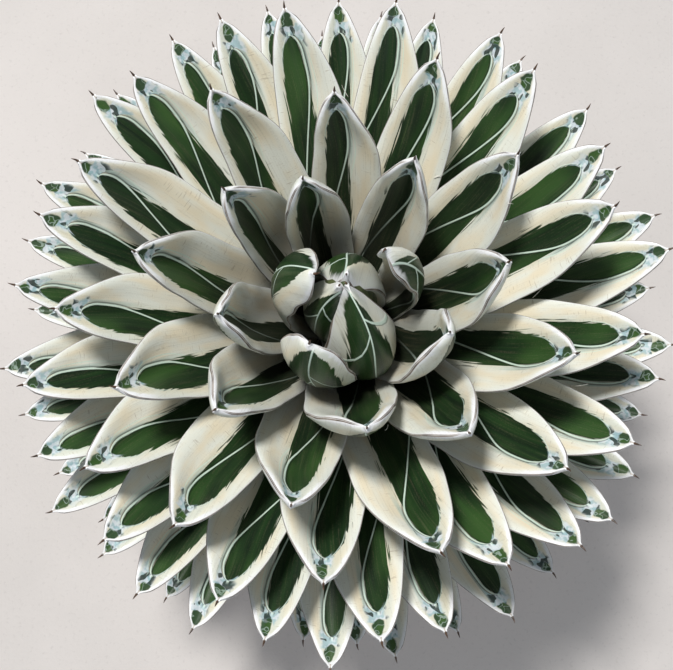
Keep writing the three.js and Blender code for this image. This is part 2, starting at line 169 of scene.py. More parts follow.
def bud_spec(age, turn, foot, reach, top, half_turn, width, cup, thickness):
    """One leaf of the closed bud."""
    return finish_leaf(SimpleNamespace(
        age=age, azimuth=np.radians(FIRST_AZIMUTH - GOLDEN_ANGLE * age + turn),
        foot=(foot, -PITCH * age), tip=(reach, top), half_turn=np.radians(half_turn),
        half_width=width / 2, cup=cup, thickness=thickness, belly=0, bud=True,
    ))


def midline(leaf, share):
    """Where a leaf's midline, a part of a circle, has come to: out, up, and its slope there."""
    rise = np.arctan2(leaf.tip[1] - leaf.foot[1], leaf.tip[0] - leaf.foot[0])
    start = rise - leaf.half_turn
    slope = start + 2 * leaf.half_turn * share
    radius = leaf.chord / (2 * np.sin(leaf.half_turn))
    out = leaf.foot[0] + radius * (np.sin(slope) - np.sin(start))
    up = leaf.foot[1] + radius * (np.cos(start) - np.cos(slope))
    return out, up, slope


# A blade's outline and thickness, in shares of its length, width and thickness
TIP_TAPER = 0.42
TIP_BLUNTNESS = 0.59  # the less, the blunter
BUD_TIP = (0.7, 0.85)
BEAK_MM = 5  # the end of a blade narrows into a short beak
FOOT_TAPER = 0.5
FOOT_WIDTH = 0.4
FOOT_THICKENING = 0.28
BUD_THICKENING = 0.55
FOOT_THICKNESS = 0.44
BELLY_RISE = 0.45
BELLY_FALL = 0.3
EDGE = 1.5  # thickness of a leaf's margin
# A young leaf has a wider foot, a shorter neck and a fuller middle.
YOUNG_AGES = 10  # over which that fades
YOUNG_FOOT_WIDTH = 0.42
YOUNG_NECK = 0.15
YOUNG_FULLNESS = 0.12
# Shares of the blade from which, and over which, it thins, and its hollow deepens and fades again
THINNING_FROM, THINNING_OVER = 0.55, 0.5
CUP_AT_FOOT, CUP_FULL_FROM = 0.35, 0.35
CUP_FADES_FROM = 0.84


def blade_size(leaf, share):
    """Half the width, the thickness and the hollow of a blade at a share of its length."""
    taper, bluntness = BUD_TIP if leaf.bud else (TIP_TAPER, TIP_BLUNTNESS)
    ogive = np.sin(pi / 2 * np.clip((1 - share) / taper, 0, 1)) ** bluntness
    beak = 0.5 + 0.5 * smooth((1 - share) * leaf.length / BEAK_MM)
    young = np.exp(-max(leaf.age, 0) / YOUNG_AGES)
    foot_width = FOOT_WIDTH + YOUNG_FOOT_WIDTH * young
    neck = foot_width + (1 - foot_width) * smooth(share / (FOOT_TAPER - YOUNG_NECK * young))
    fullness = 1 + YOUNG_FULLNESS * young**3
    thickening = BUD_THICKENING if leaf.bud else FOOT_THICKENING
    thin_foot = FOOT_THICKNESS + (1 - FOOT_THICKNESS) * np.clip(share / thickening, 0, 1)
    thinned = np.clip((share - THINNING_FROM) / THINNING_OVER, 0, 1)
    thin_tip = np.maximum(1 - thinned**2, 0) ** 0.7
    cup_foot = CUP_AT_FOOT + (1 - CUP_AT_FOOT) * np.clip(share / CUP_FULL_FROM, 0, 1)
    cup_tip = 1 - np.clip((share - CUP_FADES_FROM) / (1 - CUP_FADES_FROM), 0, 1) ** 2.2
    half = np.maximum(leaf.half_width * fullness * ogive * neck * beak, SPINE_RADIUS)
    thick = np.maximum(leaf.thickness * thin_foot * thin_tip, 2 * SPINE_RADIUS)
    return half, thick, leaf.cup * cup_foot * cup_tip


# ---------------------------------------------------------------- meshes
class Skin:
    """Points, faces, and what a material reads at each point, gathered for one object.

    across: -1 at the left margin, 1 at the right. half_mm: half the blade's width. belly_mm: how far
    the blade bulges to the right, and with it how far the green lies to the left. tip_mm: from the
    blade's end. share: from foot to tip. seed: one number a leaf. under: 0 on the upper face, 1 on the
    lower. green_from: where the green begins, from the tip. deep: 1 where shade is painted between the
    leaves. wider: added to the green's share of the width."""

    FACTS = (
        "across", "half_mm", "belly_mm", "tip_mm", "share", "seed", "under", "green_from", "deep",
        "wider",
    )

    def __init__(self):
        self.points, self.faces, self.materials = [], [], []
        self.facts = {name: [] for name in self.FACTS}
        self.count = 0

    def add(self, points, faces, material=0, **facts):
        points = np.asarray(points, float).reshape(-1, 3)
        self.points.append(points)
        self.faces.extend([tuple(int(i) + self.count for i in face) for face in faces])
        self.materials.extend([material] * len(faces))
        for name in self.FACTS:
            value = np.asarray(facts.get(name, 0.0), float).ravel()
            self.facts[name].append(np.broadcast_to(value, len(points)))
        self.count += len(points)

    def build(self, name, materials, lift=PLANT_HEIGHT):
        points = np.concatenate(self.points)
        points[:, 2] += lift
        mesh = bpy.data.meshes.new(name)
        mesh.from_pydata((points * MM).tolist(), [], self.faces)
        for material in materials:
            mesh.materials.append(material)
        mesh.polygons.foreach_set("material_index", self.materials)
        mesh.polygons.foreach_set("use_smooth", [True] * len(self.faces))
        for fact, values in self.facts.items():
            layer = mesh.attributes.new(fact, "FLOAT", "POINT")
            layer.data.foreach_set("value", np.concatenate(values).astype(np.float32))
        mesh.update()
        piece = bpy.data.objects.new(name, mesh)
        bpy.context.scene.collection.objects.link(piece)
        return piece


def tube_faces(rows, columns):
    """Quads between rings of points that each run clockwise as seen from the last ring, and a cap at
    both ends."""
    faces = []
    for i in range(rows - 1):
        low, high = i * columns, (i + 1) * columns
        for j in range(columns):
            k = (j + 1) % columns
            faces.append((low + j, high + j, high + k, low + k))
    last = (rows - 1) * columns
    faces.append(tuple(range(columns)))
    faces.append(tuple(last + j for j in reversed(range(columns))))
    return faces


LEAF_ROWS = 52
ROWS_NEAR_TIP = 1.4  # the more, the closer the rings lie towards the tip
HALF_SECTION = 15  # points across the upper face, and again across the lower one
OUTERMOST = 0.985  # where the last of them lies, just inside the margin


def section_places():
    """Where a section's points lie: across from +1 on the right, over the top, and back underneath."""
    spread = np.sin(np.linspace(-pi / 2, pi / 2, HALF_SECTION)) * OUTERMOST
    across = np.concatenate([-spread, [-1.0], spread, [1.0]])
    kind = np.concatenate([np.zeros(HALF_SECTION), [0.5], np.ones(HALF_SECTION), [0.5]])
    return across, kind


ACROSS, KIND = section_places()
HOLLOW, HOLLOW_TO = 1.02, 0.88  # of the upper face: its depth, in cups, and where across it ends
CUSHION_DROP = 0.12
MARGIN_HEIGHT = 0.9
FLUTTER, YOUNG_FLUTTER = 0.014, 0.022  # of the margins, sideways, in shares of the width
CRINKLE, FINE_CRINKLE = 0.5, 0.35  # of the margins, up and down
CRINKLE_AGES = 12  # over which it fades


def ripple(share, slow, fast, phases):
    """Two waves along a margin, the fast one a little lower."""
    return np.sin(slow * share + phases[0]) + 0.6 * np.sin(fast * share + phases[1])


def leaf_rings(leaf, shares):
    """Points of a leaf's rings, and at each how far it lies across, half the width and the bulge."""
    out, up, slope = (v[:, None] for v in midline(leaf, shares))
    half, thick, cup = (v[:, None] for v in blade_size(leaf, shares))
    a = np.abs(ACROSS)[None, :]
    edge = np.minimum(EDGE, 0.3 * thick)
    if leaf.bud:
        upper = cup * (1.2 - 0.2 * a**2)
        margin = cup
        lower = -thick * (1 - a**2) ** 0.5 + (margin - edge) * a**2.6
    else:
        upper = cup * (HOLLOW * smooth(a / HOLLOW_TO) - CUSHION_DROP * a**8)
        margin = cup * MARGIN_HEIGHT
        lower = -thick * (1 - a**1.35) ** 0.9 + (margin - edge) * a**4
    above = np.where(KIND == 0, upper, np.where(KIND == 1, lower, margin - edge / 2))
    s = shares[:, None]
    flutter = FLUTTER if leaf.bud else FLUTTER + YOUNG_FLUTTER * np.exp(-leaf.age / YOUNG_AGES)
    right, left = ripple(s, 9, 23, leaf.wave[:2]), ripple(s, 8, 21, leaf.wave[2:])
    wobble = 1 + flutter * np.where(ACROSS > 0, right, left)
    side = ACROSS[None, :] * half * wobble * leaf.slender
    if not leaf.bud:
        twist = leaf.twist * np.sin(pi * s)
        c, w = np.cos(twist), np.sin(twist)
        side, above = side * c - above * w, above * c + side * w
        side = side + leaf.bow * 4 * s * (1 - s)
        crinkle = CRINKLE * np.sin(30 * s + leaf.wave[0] + 2 * ACROSS)
        crinkle = crinkle + FINE_CRINKLE * np.sin(47 * s + leaf.wave[2])
        fading = np.exp(-leaf.age / CRINKLE_AGES) * smooth((1 - s) / 0.08)
        above = above + crinkle * a**10 * fading
    belly = leaf.belly * smooth(s / BELLY_RISE) * smooth((1 - s) / BELLY_FALL) + 0 * ACROSS
    points = place(leaf, out, up, slope, side + belly, above)
    return points, np.broadcast_to(ACROSS, side.shape), half + 0 * ACROSS, belly


def place(leaf, out, up, slope, side, above):
    """Points that lie to the right of and above points of a leaf's midline, square to its slope."""
    reach = out - above * np.sin(slope)
    height = up + above * np.cos(slope)
    c, s = np.cos(leaf.azimuth), np.sin(leaf.azimuth)
    return np.stack([reach * c + side * s, reach * s - side * c, height + 0 * side], -1)


ROOT_HALF_WIDTH, ROOT_DEPTH = 5, 1.5
GREEN_FROM, GREEN_STRAY = 16, 2.5  # where the green begins, from the tip, and how much that varies
# Painted shade deep between the leaves: how far out and how high it is full, and over what lengths it
# fades
SHADE_OUT, SHADE_OUT_FADE = 40, 58
SHADE_UP, SHADE_UP_FADE = 38, 50


def add_leaf(skin, leaf, rooted=True):
    shares = 1 - (1 - np.linspace(0, 1, LEAF_ROWS)) ** ROWS_NEAR_TIP
    points, across, half, belly = leaf_rings(leaf, shares)
    share = np.repeat(shares[:, None], len(ACROSS), 1)
    if rooted:
        # the first ring lies inside the collar of the leaf's own whorl
        first = (leaf.age // LEAVES_PER_WHORL) * LEAVES_PER_WHORL
        low = -PITCH * (first + LEAVES_PER_WHORL - 3) + 3
        height = np.clip(leaf.foot[1], low, -PITCH * (first + 2) - 1)
        neck = stem_radius(-height / PITCH) - COLLAR_INSET - COLLAR_WALL / 2
        side, above = ROOT_HALF_WIDTH * ACROSS, -ROOT_DEPTH * KIND * (1 - ACROSS**2)
        points = np.concatenate([place(leaf, neck, height, 0.0, side, above)[None], points])
        across, half, belly, share = (np.concatenate([v[:1], v]) for v in (across, half, belly, share))
    # how strongly painted shade darkens each point: fully near the axis and low down
    from_axis = np.hypot(points[..., 0], points[..., 1])
    near_axis = 1 - smooth((from_axis - SHADE_OUT) / SHADE_OUT_FADE)
    deep = near_axis * (1 - smooth((points[..., 2] - SHADE_UP) / SHADE_UP_FADE))
    skin.add(
        points, tube_faces(len(points), len(ACROSS)), 0, across=across, half_mm=half,
        belly_mm=belly + leaf.shift, tip_mm=(1 - share) * leaf.length, share=share, seed=leaf.seed,
        under=np.broadcast_to(KIND, across.shape), deep=deep, wider=leaf.wider,
        green_from=GREEN_FROM + GREEN_STRAY * np.sin(40 * leaf.seed),
    )
    add_spine(skin, leaf)


SPINE_ROWS, SPINE_SIDES = 8, 10
SPINE_SUNK = 2.2
BUD_SPINE = 0.45 * SPINE
SPINE_WAIST, SPINE_POINT = 0.9, 0.06  # radius outside the blade, and what is left of it at the point


def add_spine(skin, leaf):
    """The dark end spine, a little hooked, from inside the blade's end."""
    t = np.linspace(0, 1, SPINE_ROWS)
    out, up, slope = (float(v) for v in midline(leaf, np.float64(1)))
    along = -SPINE_SUNK + ((BUD_SPINE if leaf.bud else SPINE) + SPINE_SUNK) * t
    bend = np.clip(along, 0, None) ** 2 / SPINE**2
    radius = SPINE_WAIST * (1 - t) ** 0.7 + SPINE_POINT
    turn = np.linspace(0, 2 * pi, SPINE_SIDES, endpoint=False)
    side = radius[:, None] * np.cos(turn) + (leaf.hook[0] * bend)[:, None]
    above = radius[:, None] * np.sin(turn) - SPINE_RADIUS * 0.6 + (leaf.hook[1] * bend)[:, None]
    centre_out = (out + along * np.cos(slope))[:, None]
    centre_up = (up + along * np.sin(slope))[:, None]
    points = place(leaf, centre_out, centre_up, slope, side, above)
    share = np.repeat(t, SPINE_SIDES)
    skin.add(points, tube_faces(SPINE_ROWS, SPINE_SIDES), 1, share=share, seed=leaf.seed)


def turned(profile, sides, wobble=lambda angle, height: 0):
    """Rings of a solid of revolution. The profile lists (radius, height). The points run anticlockwise
    as seen from above."""
    profile = np.array(profile, float)
    angle = np.linspace(0, 2 * pi, sides, endpoint=False)
    height = profile[:, 1:] + 0 * angle
    radius = profile[:, :1] + wobble(angle[None, :], profile[:, 1:])
    return np.stack([radius * np.cos(angle), radius * np.sin(angle), height], -1)


# ---------------------------------------------------------------- materials
class Number:
    """A number that a material works out at each point. Sums of them become Math nodes."""

    def __init__(self, tree, socket):
        self.tree, self.socket = tree, socket

    def apply(self, operation, *others):
        node = self.tree.nodes.new("ShaderNodeMath")
        node.operation = operation
        for socket, value in zip(node.inputs, (self, *others)):
            feed(self.tree, socket, value)
        return Number(self.tree, node.outputs[0])

    def __add__(self, other):
        return self.apply("ADD", other)

    def __sub__(self, other):
        return self.apply("SUBTRACT", other)

    def __mul__(self, other):
        return self.apply("MULTIPLY", other)

    def __truediv__(self, other):
        return self.apply("DIVIDE", other)

    def __rsub__(self, other):
        return self * -1 + other

    def __abs__(self):
        return self.apply("ABSOLUTE")

    __radd__ = __add__

    def most(self, other):
        return self.apply("MAXIMUM", other)

    def least(self, other):
        return self.apply("MINIMUM", other)

    def wave(self):
        return self.apply("SINE")

    def ease(self, low, high, to_low=0.0, to_high=1.0):
        """Runs smoothly from to_low, at low, to to_high, at high, and stays there."""
        node = self.tree.nodes.new("ShaderNodeMapRange")
        node.interpolation_type = "SMOOTHSTEP"
        node.inputs["From Min"].default_value = low
        node.inputs["From Max"].default_value = high
        node.inputs["To Min"].default_value = to_low
        node.inputs["To Max"].default_value = to_high
        feed(self.tree, node.inputs["Value"], self)
        return Number(self.tree, node.outputs["Result"])


def feed(tree, socket, value):
    """Links a number or a colour to a socket, or sets a fixed value on it."""
    if isinstance(value, Number):
        tree.links.new(value.socket, socket)
    elif isinstance(value, bpy.types.NodeSocket):
        tree.links.new(value, socket)
    elif socket.type == "RGBA":
        socket.default_value = (*value, 1.0)
    else:
        socket.default_value = value


# Places of a Mix node's colour sockets, which share their names with its other sockets
COLOUR_A, COLOUR_B, MIXED_COLOUR = 6, 7, 2


class Paint:
    """One material, with short names for the nodes that it is made of."""

    def __init__(self, name, roughness):
        self.material = bpy.data.materials.new(name)
        self.material.use_nodes = True
        self.tree = self.material.node_tree
        self.shader = self.tree.nodes["Principled BSDF"]
        self.shader.inputs["Roughness"].default_value = roughness

    def fact(self, name):
        node = self.tree.nodes.new("ShaderNodeAttribute")
        node.attribute_type = "GEOMETRY"
        node.attribute_name = name
        return Number(self.tree, node.outputs["Fac"])

    def places(self):
        node = self.tree.nodes.new("ShaderNodeTexCoord")
        return node.outputs["Object"]

    def vector(self, x, y, z):
        node = self.tree.nodes.new("ShaderNodeCombineXYZ")
        for socket, value in zip(node.inputs, (x, y, z)):
            feed(self.tree, socket, value)
        return node.outputs[0]

    def noise(self, vector, scale, detail, roughness=0.5, distortion=0.0):
        node = self.tree.nodes.new("ShaderNodeTexNoise")
        feed(self.tree, node.inputs["Vector"], vector)
        node.inputs["Scale"].default_value = scale
        node.inputs["Detail"].default_value = detail
        node.inputs["Roughness"].default_value = roughness
        node.inputs["Distortion"].default_value = distortion
        return Number(self.tree, node.outputs["Fac"])

    def cells(self, vector, scale):
        """How far each point is from the nearest of many scattered centres."""
        node = self.tree.nodes.new("ShaderNodeTexVoronoi")
        feed(self.tree, node.inputs["Vector"], vector)
        node.inputs["Scale"].default_value = scale
        return Number(self.tree, node.outputs["Distance"])

    def mix(self, factor, first, second):
        node = self.tree.nodes.new("ShaderNodeMix")
        node.data_type = "RGBA"
        feed(self.tree, node.inputs["Factor"], factor)
        feed(self.tree, node.inputs[COLOUR_A], first)
        feed(self.tree, node.inputs[COLOUR_B], second)
        return node.outputs[MIXED_COLOUR]

    def finish(self, colour, height, depth_mm, roughness=None):
        """Joins the colour and the relief to the shader, and the roughness where it varies."""
        feed(self.tree, self.shader.inputs["Base Color"], colour)
        if roughness is not None:
            feed(self.tree, self.shader.inputs["Roughness"], roughness)
        bump = self.tree.nodes.new("ShaderNodeBump")
        bump.inputs["Strength"].default_value = 1.0
        bump.inputs["Distance"].default_value = depth_mm * MM
        feed(self.tree, bump.inputs["Height"], height)
        self.tree.links.new(bump.outputs["Normal"], self.shader.inputs["Normal"])
        return self.material


CREAM = (0.755, 0.685, 0.525)
CREAM_PALE = (0.74, 0.755, 0.68)
CREAM_EDGE = (0.74, 0.785, 0.75)
CREAM_SHADY = (0.50, 0.54, 0.44)
CREAM_FOOT_SHADE = (0.45, 0.45, 0.29)
SCRATCHED = (0.34, 0.27, 0.19)
GLASSY = (0.30, 0.44, 0.41)
WHITE = (0.80, 0.81, 0.83)
LILAC = (0.62, 0.69, 0.75)
BLUE = (0.34, 0.50, 0.55)
GREEN_DARK = (0.006, 0.017, 0.007)
GREEN = (0.013, 0.037, 0.011)
GREEN_LIT = (0.042, 0.105, 0.024)
GREEN_PALE = (0.15, 0.24, 0.08)
PATCH_DARK = (0.03, 0.065, 0.028)
PATCH_LEFT = (0.035, 0.085, 0.020)
PATCH_RIGHT = (0.050, 0.095, 0.050)
PATCH_VEIN = (0.55, 0.68, 0.62)
PRINT = (0.62, 0.76, 0.66)
EDGE_BROWN = (0.085, 0.060, 0.045)
EDGE_GREY = (0.30, 0.25, 0.21)
PAINTED_SHADE = (0.010, 0.014, 0.008)
GRAIN = (0.20, 0.17, 0.11)
SPREAD = 0.402  # of the green middle: its share of the half width
PATCH_RADIUS = 3.6
FIRST_FORK = 21  # of the print on the underside, from the tip
PRINT_BEND, PRINT_BEND_LENGTH = 24, 62  # of the print on the upper face, from where the green begins
RELIEF = 0.45


def leaf_paint():
    """Cream margins, a green middle with a ragged border, the pale prints that other leaves left in
    the bud, and a horny edge. Every leaf lays them out from its own tip, in millimetres."""
    p = Paint("leaf_skin", 0.42)
    p.shader.inputs["Specular IOR Level"].default_value = 0.35
    across, half, tip = p.fact("across"), p.fact("half_mm"), p.fact("tip_mm")
    seed, under, green_from = p.fact("seed"), p.fact("under"), p.fact("green_from")
    belly, deep = p.fact("belly_mm"), p.fact("deep")
    upper = 1 - under.ease(0.1, 0.3)
    lower = under.ease(0.7, 0.9)
    side = across * half
    from_edge = (1 - abs(across)) * half

    def ragged(scale_across, scale_along, shift, detail=2.0):
        """Noise around 0 that runs along the leaf, and is another one for each leaf and each shift."""
        where = p.vector(side * scale_across, tip * scale_along, seed * 50 + shift)
        return p.noise(where, 1.0, detail) - 0.5

    # the green middle, which starts nearer the tip on the underside
    jag = ragged(0.30, 0.022, 0.0, 3.0)
    fine_jag = ragged(1.1, 0.05, 9.0, 2.0)
    teeth = ragged(0.9, 0.035, 13.0, 1.0).ease(-0.10, 0.10, -0.03, 0.03)
    start = green_from * (1 - lower * 0.86)
    ahead = ((tip - start) / (11 + lower * 5)).most(0.0).least(1.0)
    inward = (ahead * (2 - ahead)).apply("SQRT")
    spread = SPREAD - tip.ease(30.0, 60.0) * 0.015 + tip.ease(70.0, 170.0) * 0.12
    spread = spread + (seed * 91).wave() * 0.03 + lower * 0.10 + p.fact("wider")
    border = spread * inward + jag * 0.17 * tip.ease(25.0, 60.0)
    border = border + fine_jag * (0.11 + lower * 0.05) + teeth
    inner = side + belly * 1.15  # the pattern keeps nearer the straight line than the blade does
    middle = inner / half + 0.02 + (seed * 37).wave() * 0.03
    green = ((border - abs(middle)) * half).ease(-0.3, 0.3) * (tip - start).ease(-0.5, 0.5)

    # loose streaks on both sides of the border
    near = 1 - (abs(abs(middle) - spread) - 0.02).ease(0.02, 0.15)
    streak = ragged(0.75, 0.045, 23.0, 1.0).ease(0.17, 0.20) * near * tip.ease(24.0, 40.0)
    light_streak = ragged(0.5, 0.012, 47.0, 1.0).ease(0.25, 0.30) * tip.ease(30.0, 60.0)
    green = green.most(streak * 0.9)

    tone = ragged(0.35, 0.010, 61.0, 3.0)
    lit = (ragged(0.04, 0.014, 71.0) + 0.02).ease(-0.05, 0.25)
    green_colour = p.mix(tone.ease(-0.2, 0.2), GREEN_DARK, GREEN)
    green_colour = p.mix(lit * 0.7 * (1 - tip.ease(50.0, 110.0) * 0.6), green_colour, GREEN_LIT)
    # painted shade: the green darkens towards the foot
    green_colour = p.mix(tip.ease(60.0, 130.0) * 0.6, green_colour, GREEN_DARK)
    green_colour = p.mix(light_streak * 0.4, green_colour, GREEN_PALE)

    # the cream margins
    cloud = ragged(0.10, 0.03, 83.0, 2.0)
    cream = p.mix(cloud.ease(-0.16, 0.16), CREAM, CREAM_PALE)
    cream = p.mix((1 - (from_edge + cloud * 4).ease(1.0, 4.5)) * 0.6, cream, CREAM_EDGE)
    veil = ((abs(middle) - spread) * half).ease(0.0, 4.0)
    cream = p.mix((1 - veil) * 0.35, cream, CREAM_SHADY)
    # painted shade: the cream darkens towards the foot, where the leaves overlap
    cream = p.mix(tip.ease(90.0, 170.0) * 0.5, cream, CREAM_FOOT_SHADE)
    # a glassy band beside the green, on its right side
    beyond = inner - spread * half
    glass = beyond.ease(-0.4, 0.3) * (1 - beyond.ease(1.4, 3.2))
    glass = glass * (tip - green_from).ease(-4.0, 3.0) * (1 - tip.ease(35.0, 65.0)) * upper
    glass_streak = ragged(1.1, 0.022, 31.0)
    cream = p.mix(glass * glass_streak.ease(-0.25, 0.0) * 0.65, cream, GLASSY)
    cream = p.mix(glass * glass_streak.ease(0.14, 0.18) * 0.85, cream, GREEN_DARK)
    scratch = p.noise(p.vector(side * 0.16, tip * 1.3, seed * 70), 1.0, 2.0).ease(0.62, 0.70)
    scratch = scratch * p.noise(p.vector(side * 0.2, tip * 0.07, seed * 33), 1.0, 1.0).ease(0.46, 0.60)
    cream = p.mix(scratch * 0.5, cream, SCRATCHED)
    colour = p.mix(green, cream, green_colour)

    # the tip: white horn and a green patch among pale veins
    horn_depth = 2.4 + ragged(0.1, 0.25, 17.0) * 2.5 - lower * 1.6
    horn = 1 - (tip + lower * 1.5).ease(3.0, 5.0)
    horn = horn.most((1 - tip.ease(13.0, 26.0)) * (1 - (from_edge - horn_depth).ease(-0.6, 0.6)))
    colour = p.mix(horn * 0.92, colour, WHITE)
    marble = p.noise(p.vector(side * 0.19, tip * 0.19, seed * 19), 1.0, 1.0)
    veins = 1 - abs(marble - 0.5).ease(0.008, 0.030)
    patch_side = (side - 0.3 + (seed * 53).wave() * 1.0) * 1.1
    patch_along = (tip - 3.6 - green_from * 0.25) * 0.64
    patch_size = (patch_side * patch_side + patch_along * patch_along).apply("SQRT")
    patch_size = patch_size + (marble - 0.5) * 4
    patch = (1 - (patch_size - PATCH_RADIUS).ease(-0.5, 0.5)) * (from_edge - 1.2).ease(0.0, 0.6)
    patch_green = p.mix(side.ease(1.0, 3.0), PATCH_LEFT, PATCH_RIGHT)
    patch_colour = p.mix(marble.ease(0.45, 0.55), PATCH_DARK, patch_green)
    colour = p.mix(patch * upper, colour, patch_colour)
    colour = p.mix(patch * veins * 0.4 * upper, colour, PATCH_VEIN)

    # a pale blue crossing between the patch and the green middle
    crossing_from = tip - green_from + 5.5 + (marble - 0.5) * 8 + abs(side) * 0.35
    crossing_to = tip - green_from - (side * side) * 0.16 - 0.3
    crossing = crossing_from.ease(-0.5, 0.5) * (1 - crossing_to.ease(-0.5, 0.5)) * upper
    crossing = crossing * (1 - (abs(side - 0.8) + (marble - 0.5) * 6).ease(3.6, 6.5))
    crossing = crossing * (from_edge - 0.8).ease(0.0, 1.5)
    blot = p.noise(p.vector(side * 0.34, tip * 0.30, seed * 29 + 3), 1.0, 1.0)
    colour = p.mix(crossing * 0.85, colour, p.mix(blot.ease(0.42, 0.58), BLUE, LILAC))
    gap = p.noise(p.vector(side * 0.34, tip * 0.17, seed * 43), 1.0, 0.0).ease(0.58, 0.61)
    colour = p.mix(gap * crossing * 0.9, colour, GREEN_DARK)

    # prints: a thin raised line each, with a painted shadow along both sides
    def line(target_mm, width):
        away = abs(inner - target_mm)
        # foot: a band along both sides of the line, where its shadow is painted
        foot = away.ease(width, width * 1.7) * (1 - away.ease(width * 1.7, width * 3.6))
        return 1 - away.ease(width * 0.55, width * 1.25), foot

    bend = green_from + PRINT_BEND + (seed * 17).wave() * 8
    swing = (tip - bend) / PRINT_BEND_LENGTH
    swing = ((swing * swing + 0.02).apply("SQRT") + swing - 0.02) * 0.5
    print_at = (spread * inward - swing * (0.85 + (seed * 77).wave() * 0.25)) * half + 0.2
    present = (tip - green_from).ease(-3.0, 0.5) * upper
    main, main_shadow = line(print_at, 0.58)
    main, main_shadow = main * present, main_shadow * present
    left, _ = line(spread * inward * -1.0 * half - 0.4, 0.4)
    left = left * present * (1 - (tip - green_from).ease(4.0, 22.0))
    faint, _ = line(print_at + 2.6 + (tip - green_from) * 0.055, 0.35)
    faint = faint * present * (1 - (tip - green_from).ease(40.0, 60.0))
    faint = faint * (seed * 61).wave().ease(-0.3, 0.2) * (1 - green)
    # underneath: a trunk and its forks
    trunk_at = (tip / 11 + seed * 9).wave() * 1.4 - 0.5
    trunk, _ = line(trunk_at, 0.5)
    past_fork = tip - FIRST_FORK - (seed * 23).wave() * 6
    fork_a, _ = line(past_fork * -0.62 + trunk_at, 0.5)
    fork_b, _ = line((past_fork - 9) * 0.5 + trunk_at, 0.5)
    trunk = trunk * tip.ease(2.0, 4.0) * (1 - tip.ease(60.0, 80.0))
    fork_a, fork_b = fork_a * past_fork.ease(-0.5, 0.5), fork_b * past_fork.ease(8.5, 9.5)
    below = trunk.most(fork_a).most(fork_b) * lower
    prints = main.most(left * 0.8).most(faint * 0.7).most(below)
    # painted shadow along both sides of the main print
    colour = p.mix(main_shadow * 0.7, colour, GREEN_DARK)
    colour = p.mix(prints * 0.92, colour, PRINT)

    # the horny edge, pale with a thin dark line along its middle
    rim = abs(under - 0.5)
    dark_rim = (1 - rim.ease(0.13, 0.27)).most((1 - (from_edge - 0.20).ease(0.0, 0.25)) * upper)
    strip = (1 - rim.ease(0.42, 0.5)).most((1 - (from_edge - 0.8).ease(0.0, 0.4)) * upper * 0.8)
    colour = p.mix(strip * 0.6, colour, WHITE)
    rim_tone = p.noise(p.vector(across, tip * 0.12, seed * 41), 1.0, 2.0).ease(0.35, 0.65)
    rim_colour = p.mix(rim_tone, EDGE_BROWN, EDGE_GREY)
    colour = p.mix(dark_rim * tip.ease(1.0, 5.0), colour, rim_colour)

    # painted shade darkens what lies deep between the leaves, near the axis and low down
    colour = p.mix(deep * (0.42 + green * 0.50), colour, PAINTED_SHADE)

    grain = ragged(1.6, 0.03, 5.0, 2.0)
    pits = p.noise(p.vector(side * 1.2, tip * 1.2, seed * 12), 1.0, 2.0)
    colour = p.mix((grain + pits * 0.6 - 0.3).ease(0.02, 0.25) * 0.16, colour, GRAIN)
    # relief is worked out three times a point, so it holds only what is cheap and can be felt
    height = main.most(left * 0.8).most(below) + grain * 0.22 + pits * 0.16
    rough = 0.36 + pits * 0.16 + green * -0.06 + scratch * 0.1
    return p.finish(colour, height, RELIEF, rough)


def spine_paint():
    p = Paint("end_spine", 0.34)
    along = p.fact("share")
    mottle = p.noise(p.places(), 900.0, 2.0)
    colour = p.mix(mottle.ease(0.35, 0.65), (0.035, 0.017, 0.010), (0.10, 0.055, 0.032))
    colour = p.mix(1 - (along + mottle * 0.2).ease(0.30, 0.52), colour, (0.55, 0.50, 0.45))
    return p.finish(colour, mottle, 0.08)


def bud_core_paint():
    p = Paint("bud_core_skin", 0.45)
    mottle = p.noise(p.places(), 120.0, 3.0)
    colour = p.mix(mottle.ease(0.3, 0.7), (0.030, 0.045, 0.018), (0.10, 0.12, 0.05))
    return p.finish(colour, mottle, 0.2)


def thread_paint():
    p = Paint("thread_fibre", 0.6)
    mottle = p.noise(p.places(), 300.0, 2.0)
    return p.finish(p.mix(mottle.ease(0.3, 0.7), (0.60, 0.58, 0.52), (0.85, 0.84, 0.80)), mottle, 0.05)


def stem_paint():
    p = Paint("stem_bark", 0.8)
    where = p.places()
    fibre = p.noise(where, 260.0, 4.0, 0.6, 0.6)
    patch = p.noise(where, 45.0, 3.0)
    colour = p.mix(patch.ease(0.35, 0.65), (0.12, 0.075, 0.04), (0.34, 0.25, 0.15))
    colour = p.mix(fibre.ease(0.5, 0.75) * 0.6, colour, (0.50, 0.42, 0.30))
    return p.finish(colour, fibre + patch * 0.6, 0.9)


def soil_paint():
    p = Paint("soil_grit", 0.9)
    where = p.places()
    grains = p.cells(where, 420.0)
    patch = p.noise(where, 60.0, 4.0)
    colour = p.mix(patch.ease(0.3, 0.7), (0.035, 0.022, 0.014), (0.13, 0.085, 0.05))
    colour = p.mix((1 - grains.ease(0.1, 0.5)) * 0.5, colour, (0.22, 0.16, 0.11))
    return p.finish(colour, patch - grains, 1.2)


def stone_paint():
    p = Paint("soil_pumice", 0.85)
    where = p.places()
    tone = p.noise(where, 55.0, 1.0)
    pores = p.cells(where, 900.0)
    colour = p.mix(tone.ease(0.42, 0.58), (0.15, 0.09, 0.055), (0.50, 0.45, 0.37))
    colour = p.mix((1 - pores.ease(0.05, 0.35)) * 0.4, colour, (0.12, 0.09, 0.07))
    return p.finish(colour, pores, 0.4)


